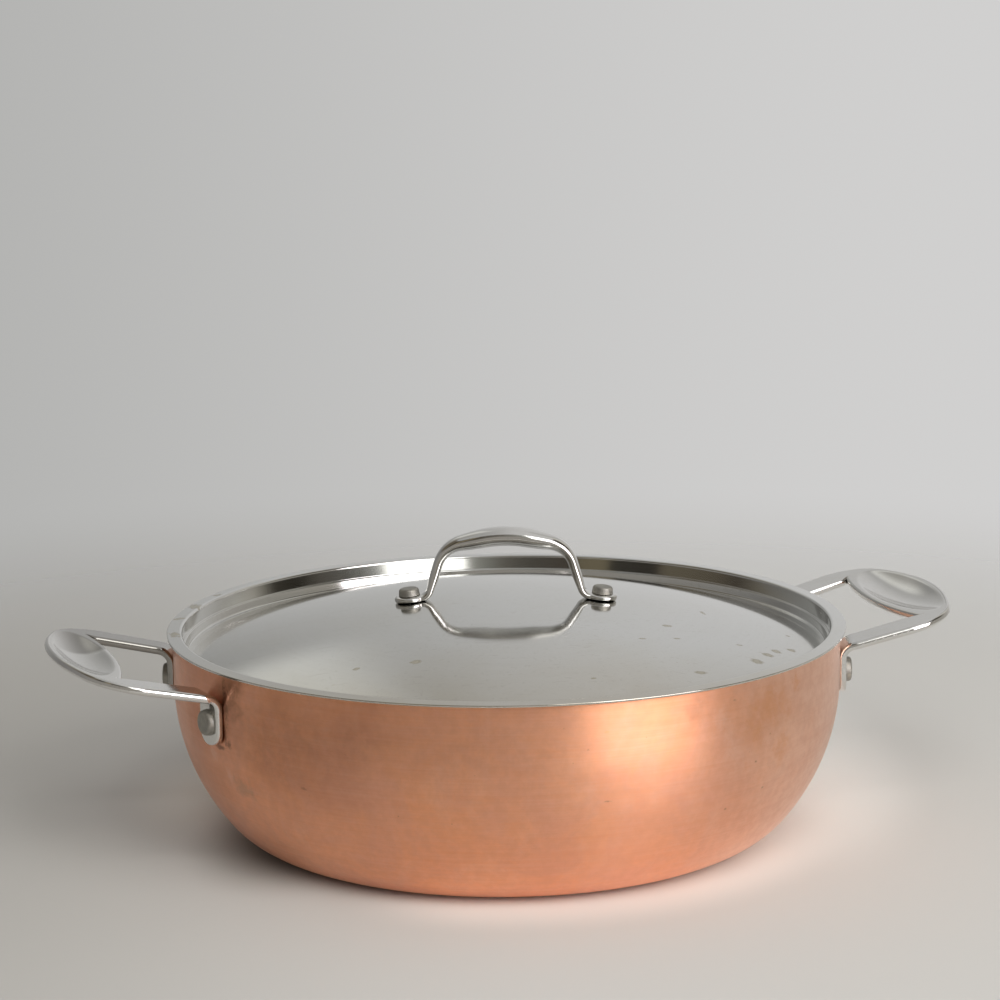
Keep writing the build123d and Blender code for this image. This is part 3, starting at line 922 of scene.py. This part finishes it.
def lid_metal():
    """The lid: satin mirror steel with dried water spots, specks and a darker beige over the front, towards
    the camera.
    """
    material, place = new_metal("satin_mirror_steel", 0.1)
    rings = brushed(along_profile(place), 26, 26, 1500)
    cloud_mask = rise(cloud(place, 15, 4, 0.6, 0.5), 0.4, 0.75)
    faint = use(fine_scratches, place, Scale=26, Rarity=0.69)["Scratches"]
    front = calc_vector("DOT_PRODUCT", place, to_camera)
    cloudy = rise(cloud(place, 24, 5, 0.6, 0.4), 0.3, 0.62, 0.7, 1)
    # Darker beige, clouded, over the part of the lid towards the camera
    front_beige = times(rise(front, 0.045, 0.142), cloudy)
    color = coated(
        (0.70, 0.70, 0.685),
        (cloud_mask, 0.4, (0.64, 0.62, 0.56)),
        (front_beige, 1, (0.57, 0.535, 0.46)),
        (rings, 0.08, (0.50, 0.49, 0.46)),
        (faint, 0.16, (0.42, 0.40, 0.35)),
    )
    rough = plus(times(cloud_mask, 0.05), 0.085)
    spots = []
    for x, y, wide, deep in mm * np.array(dome_spots):
        spots.append(((x, y, dome_rise(math.hypot(x, y))), (wide, deep, 5 * mm), 1))
    for azimuth, wide, deep, ragged in flange_stains:
        point = heading(math.radians(azimuth)) * (upper_wall + lid_radius) / 2 + z_axis * flange_top
        spots.append((point, (wide * mm, deep * mm, mm), ragged))
    for point, reach, ragged in spots:
        inside, border = use(mark, place, Place=point, Reach=reach, Softness=0.5, Ragged=ragged)
        color = coated(color, (inside, 0.62, (0.46, 0.41, 0.29)), (border, 0.32, (0.24, 0.21, 0.15)))
        rough = plus(rough, times(inside, 0.25))
    dots = specked(place, 190, 0.03, 0.87)
    small = specked(place, 420, 0, 0.86)
    dashes = specked(calc_vector("MULTIPLY", place, (0.7, 2.2, 1)), 120, 0.02, 0.6)
    color = coated(
        color,
        (most(dots, small), 0.4, (0.36, 0.33, 0.26)),
        (dashes, 0.45, (0.45, 0.39, 0.25)),
    )
    return finish(material, color, plus(rough, times(dots, 0.2)), rings, 0.000004, 0.3)


def handle_metal():
    """Polished steel with wiping scratches and a little hazy clouding, with painted shade on the far leg
    and tab at the left.
    """
    material, place = new_metal("polished_steel", 0.07)
    scratches = use(fine_scratches, place, Scale=95, Rarity=0.66)["Scratches"]
    cloud_mask = rise(cloud(place, 60, 3, 0.6), 0.4, 0.8)
    x, y, _ = node("SeparateXYZ", {0: place}).outputs
    # Painted shade: the left handle's far leg and tab are darkened where they reflect the dark hollow
    far_leg_shade = times(rise(x, -0.204, -0.186), rise(x, -0.1, -0.12), rise(y, 0.012, 0.017))
    color = coated(
        (0.73, 0.72, 0.70),
        (cloud_mask, 0.3, (0.66, 0.64, 0.59)),
        (scratches, 0.2, (0.48, 0.46, 0.42)),
        (far_leg_shade, 0.75, (0.20, 0.185, 0.16)),
    )
    rough = plus(times(scratches, 0.14), times(cloud_mask, 0.07), 0.07)
    return finish(material, color, rough, scratches, 0.000006, 0.25)


def rivet_metal():
    """Matte grey steel, a little worn and uneven."""
    material, place = new_metal("matte_rivet_steel", 0.58)
    grain = cloud(place, 2600, 3, 0.6)
    worn = rise(cloud(place, 330, 3, 0.6), 0.42, 0.7)
    color = blend(worn, (0.33, 0.32, 0.29), (0.46, 0.44, 0.385))
    color = coated(color, (grain, 0.3, (0.36, 0.35, 0.32)))
    return finish(material, color, rise(worn, 0, 1, 0.54, 0.66), grain, 0.00003, 0.5)


# The pieces

layers = [
    ("copper_body", "copper_shell", 0, copper_gauge, "copper", copper_metal()),
    ("core_layer", "aluminium_core", copper_gauge, core_gauge, "core", core_aluminium()),
    ("lining_layer", "steel_lining", copper_gauge + core_gauge, lining_gauge, "lining", lining_metal()),
]
for name, solid, inset, gauge, slot, material in layers:
    add_piece(turned_mesh(name, bowl_layer(inset, gauge)), "pot", solid, material)

loop_steel, rivet_steel = handle_metal(), rivet_metal()
side_stud = rivet_profile(tab_gauge + wall_gauge, *side_rivet)
for side_name, side in (("left", -1), ("right", 1)):
    mesh = closed_mesh(f"{side_name}_loop", handle_rings(side))
    add_piece(mesh, "pot", f"{side_name}_handle", loop_steel)
    for end_name, end in (("front", -1), ("rear", 1)):
        name = f"{side_name}_{end_name}"
        mesh = turned_mesh(f"{name}_stud", side_stud, side_rivet_place(side, end * side))
        add_piece(mesh, "pot", f"{name}_rivet", rivet_steel)

add_piece(turned_mesh("lid_sheet", lid_profile()), "lid", "lid_plate", lid_metal())
add_piece(closed_mesh("lid_arch", lid_handle_rings()), "lid", "lid_handle", loop_steel)
lid_stud = rivet_profile(eye_gauge + lid_gauge, *lid_rivet)
for end_name, end in (("lid_left", -1), ("lid_right", 1)):
    mesh = turned_mesh(f"{end_name}_stud", lid_stud, eye_place(end))
    add_piece(mesh, "lid", f"{end_name}_rivet", rivet_steel)


# Stage, lights and camera

def add_camera():
    """The camera where the photograph was taken from, looking past the pot's axis."""
    data = bpy.data.cameras.new("camera")
    data.sensor_width = sensor_width
    data.lens = camera_focal * sensor_width
    camera = new_object("camera", data)
    origin = camera_distance * to_camera + camera_height * z_axis
    camera.matrix_world = Matrix(frame_matrix(origin, camera_right, -camera_forward))
    bpy.context.scene.camera = camera


def add_lamp(name, azimuth, elevation, distance, size, power, color, mirrored):
    """A square soft box facing the pot, its azimuth counted to the right of the camera's side, seen by
    mirrors alone or by all but mirrors and the camera."""
    data = bpy.data.lights.new(name, "AREA")
    data.shape = "RECTANGLE"
    data.size = data.size_y = size
    data.energy = power
    data.color = color
    lamp = new_object(name, data)
    turn, lift = np.radians([azimuth, elevation])
    level = -heading(math.pi / 2 - camera_turn + turn)
    origin = distance * (math.cos(lift) * level + math.sin(lift) * z_axis)
    back = origin - z_axis * lamp_aim
    lamp.matrix_world = Matrix(frame_matrix(origin, np.cross(z_axis, back), back))
    lamp.visible_camera = False
    lamp.visible_glossy = mirrored
    lamp.visible_diffuse = not mirrored


def stage_object(name, points, faces):
    """A mesh of the stage with an empty material: the object, its coordinates and its shader's socket."""
    mesh = bpy.data.meshes.new(name)
    mesh.from_pydata(points.tolist(), [], faces)
    material = bpy.data.materials.new(name)
    material.use_nodes = True
    tree = material.node_tree
    tree.nodes.clear()
    surface = add(tree, "OutputMaterial").inputs["Surface"]
    mesh.materials.append(material)
    return new_object(name, mesh), add(tree, "TexCoord").outputs["Object"], surface


def stage_circle(radius, height):
    """96 points of a level circle round the pot's axis."""
    return np.column_stack([arc((0, 0), radius, 0, 2 * math.pi, 97)[:-1], np.full(96, height)])


def see_through(share, shader):
    """A shader that gives way to a clear one as the share goes to 1."""
    gone = add(share.id_data, "BsdfTransparent").outputs[0]
    return node("MixShader", {0: share, 1: shader, 2: gone}).outputs[0]


def add_floor():
    """A pale floor disc that takes the shadow near the pot, with painted shade on its left, painted pools
    of light and shadow and a painted rim of light in front of the pot, and fades into the surroundings.
    """
    rim = stage_circle(floor_radius, 0)
    floor, place, surface = stage_object("floor", rim, [list(range(len(rim)))])
    aside = calc_vector("DOT_PRODUCT", place, camera_right)
    behind = calc_vector("DOT_PRODUCT", place, unit(camera_forward * [1, 1, 0]))
    across = node("CombineXYZ", {0: aside, 1: behind}).outputs[0]
    # Painted shade: the floor's tone darkens towards the left
    tone = blend(rise(aside, *floor_span), floor_left, floor_right)
    # Painted light and shadow: pools, and a rim of light in front of the pot, laid into the floor's tone
    for middle, reach, share, pool in painted_pools:
        offset = calc_vector("SUBTRACT", across, (*middle, 0))
        spread = calc_vector("LENGTH", calc_vector("DIVIDE", offset, (*reach, 1)))
        tone = blend(rise(spread, 0.1, 1.5, share, 0), tone, pool)
    away = calc_vector("LENGTH", place)
    near = times(rise(away, *glow_inner), rise(away, *glow_outer))
    near = times(near, rise(aside, *glow_left), rise(behind, *glow_behind))
    tone = blend(near, tone, floor_glow)
    paint = node("BsdfDiffuse", {"Color": tone}).outputs[0]
    link(see_through(rise(away, *floor_fade), paint), surface)


def tone_ring(share, tones):
    """A colour by azimuth: stops at the given degrees, the share running once round from the back."""
    ring = node("ValToRGB", {0: share})
    stops = ring.color_ramp.elements
    stops[0].color = stops[1].color = (*room_back, 1)
    for degrees, *tone in tones:
        stops.new(degrees / 360 + 0.5).color = (*np.divide(tone, 100), 1)
    return ring.outputs["Color"]


def add_room():
    """A ring round the stage that only reflections see: the dim and the paler parts of the room."""
    low, high = stage_circle(room_radius, -room_low), stage_circle(room_radius, room_high)
    faces = grid_quads(2, len(low))[:, ::-1].tolist()
    room, place, surface = stage_object("room", np.concatenate([low, high]), faces)
    turned = node("Mapping", {"Vector": place, "Rotation": (0, 0, camera_turn)}).outputs[0]
    x, y, z = node("SeparateXYZ", {0: turned}).outputs
    azimuth = calc("ARCTAN2", x, times(y, -1))
    share = plus(calc("DIVIDE", azimuth, 2 * math.pi), 0.5)
    low_tones, high_tones = tone_ring(share, room_tones_low), tone_ring(share, room_tones_high)
    glow = node("Emission", {"Color": blend(rise(z, *room_change), low_tones, high_tones)}).outputs[0]
    degrees = times(azimuth, 180 / math.pi)
    open_right = rise(degrees, *room_opening_right)
    open_left = rise(times(degrees, -1), *room_opening_left)
    open_top = rise(z, room_high - room_soft, room_high)
    link(see_through(most(open_left, open_right, open_top), glow), surface)
    room.visible_camera = False
    room.visible_diffuse = False
    room.visible_transmission = False
    room.visible_shadow = False


def set_world():
    """Pale surroundings, a little darker on the left as painted shade, behind a plain even light."""
    world = bpy.data.worlds.new("world")
    world.use_nodes = True
    tree = world.node_tree
    tree.nodes.clear()
    output = add(tree, "OutputWorld")
    direction = add(tree, "TexCoord").outputs["Generated"]
    aside = calc_vector("DOT_PRODUCT", direction, camera_right)
    tone = blend(rise(aside, *backdrop_span), backdrop_left, backdrop_right)
    seen = node("Background", {"Color": tone}).outputs[0]
    even = add(tree, "Background", {"Color": even_light, "Strength": even_strength}).outputs[0]
    path = add(tree, "LightPath").outputs
    looked = most(path["Is Camera Ray"], path["Is Glossy Ray"], path["Is Transmission Ray"])
    shader = node("MixShader", {0: looked, 1: even, 2: seen})
    link(shader.outputs[0], output.inputs["Surface"])
    bpy.context.scene.world = world


# Floor: tones at the left and right, the left darker as painted shade, where it fades out, and soft pools
# of painted light and shadow and a rim of painted thrown light
floor_radius = 3
floor_left = (0.42, 0.41, 0.388)
floor_right = (0.567, 0.560, 0.540)
floor_span = (-0.30, 0.05)
floor_fade = (0.34, 0.85)
# Pools of painted light and shadow, each its middle aside and behind, reach, share and tone: light beside
# the pot on the right, light lifting the shade on the left, and a dark painted shadow by the lower left of
# the base
painted_pools = [
    ((0.135, 0.090), (0.045, 0.120), 1, (0.85, 0.84, 0.81)),
    ((-0.136, 0.060), (0.035, 0.060), 0.9, (0.66, 0.64, 0.59)),
    ((-0.100, -0.030), (0.032, 0.052), 0.75, (0.14, 0.125, 0.105)),
]
floor_glow = (0.72, 0.705, 0.68)
glow_inner = (0.085, 0.106)
glow_outer = (0.118, 0.155, 1, 0)
glow_left = (-0.075, -0.01)
glow_behind = (-0.03, 0.04, 1, 0)

# Surroundings, darker on the left as painted shade, and the even light
backdrop_left = (0.425, 0.425, 0.415)
backdrop_right = (0.635, 0.63, 0.625)
backdrop_span = (-0.26, 0.16)
even_light = (1, 0.985, 0.96)
even_strength = 0.40

# Room ring: its size, its openings in degrees, and its tones, red, green and blue in hundredths, by
# degrees to the right of the camera
room_radius = 4.4
room_low = 0.8
room_high = 8
room_soft = 1.5
room_opening_left = (160, 174)
room_opening_right = (138, 168)
room_back = (0.5, 0.49, 0.47)
room_change = (1.7, 2.5)
room_tones_low = [
    (-160, 32, 32, 31), (-125, 21, 20.5, 20), (-90, 27, 26, 24.5), (-40, 29, 27.5, 25),
    (-28, 29, 27.5, 25), (12, 33, 31, 28), (30, 34, 33, 30), (58, 38, 36, 32),
    (68, 34, 32, 28.5), (100, 36, 34.5, 31), (125, 44, 42, 39), (160, 66, 65, 63),
]
room_tones_high = [
    (-168, 90, 90, 86), (-150, 42, 41.5, 39), (-132, 27, 25.5, 23), (-120, 19, 17, 13.5),
    (-108, 8.5, 7.1, 5.6), (-96, 14.3, 12.1, 9), (-75, 17.9, 15.4, 11.1), (-71, 16, 13.5, 10),
    (-68, 4.5, 4, 3.3), (-48, 6, 5.5, 4.5), (-45, 23, 19.5, 13), (-34, 23, 19.5, 13),
    (-30, 9, 7.5, 6), (-12, 11.1, 10.2, 8.7), (0, 16.6, 15.4, 13.5), (12, 36, 36, 33),
    (17, 50, 50, 47), (18.5, 300, 300, 295), (53, 300, 300, 295), (56.5, 60, 60, 59),
    (64, 30, 30, 29), (72, 15.8, 15.4, 14.3), (84, 13, 12, 10.5), (96, 3.2, 2.8, 2),
    (108, 6, 5.3, 4.2), (115, 32, 30, 26), (120, 52, 49, 44), (132, 66, 65, 60),
    (156, 38, 37.5, 36.5),
]

# Lamps: azimuth and elevation in degrees, distance, size, power, colour, and whether only mirrors see them
lamp_aim = 0.05
lamps = {
    "key": (47, 15, 3.6, 2.3, 72, (1, 0.95, 0.99), True),
    "side_light": (45, 23, 3.6, 2.3, 100, (1, 0.985, 0.96), False),
    "front_light": (4, 42, 5, 3, 132, (1, 0.99, 0.97), False),
}

add_camera()
for name, settings in lamps.items():
    add_lamp(name, *settings)
add_floor()
add_room()
set_world()
bpy.context.scene.view_settings.view_transform = "Standard"
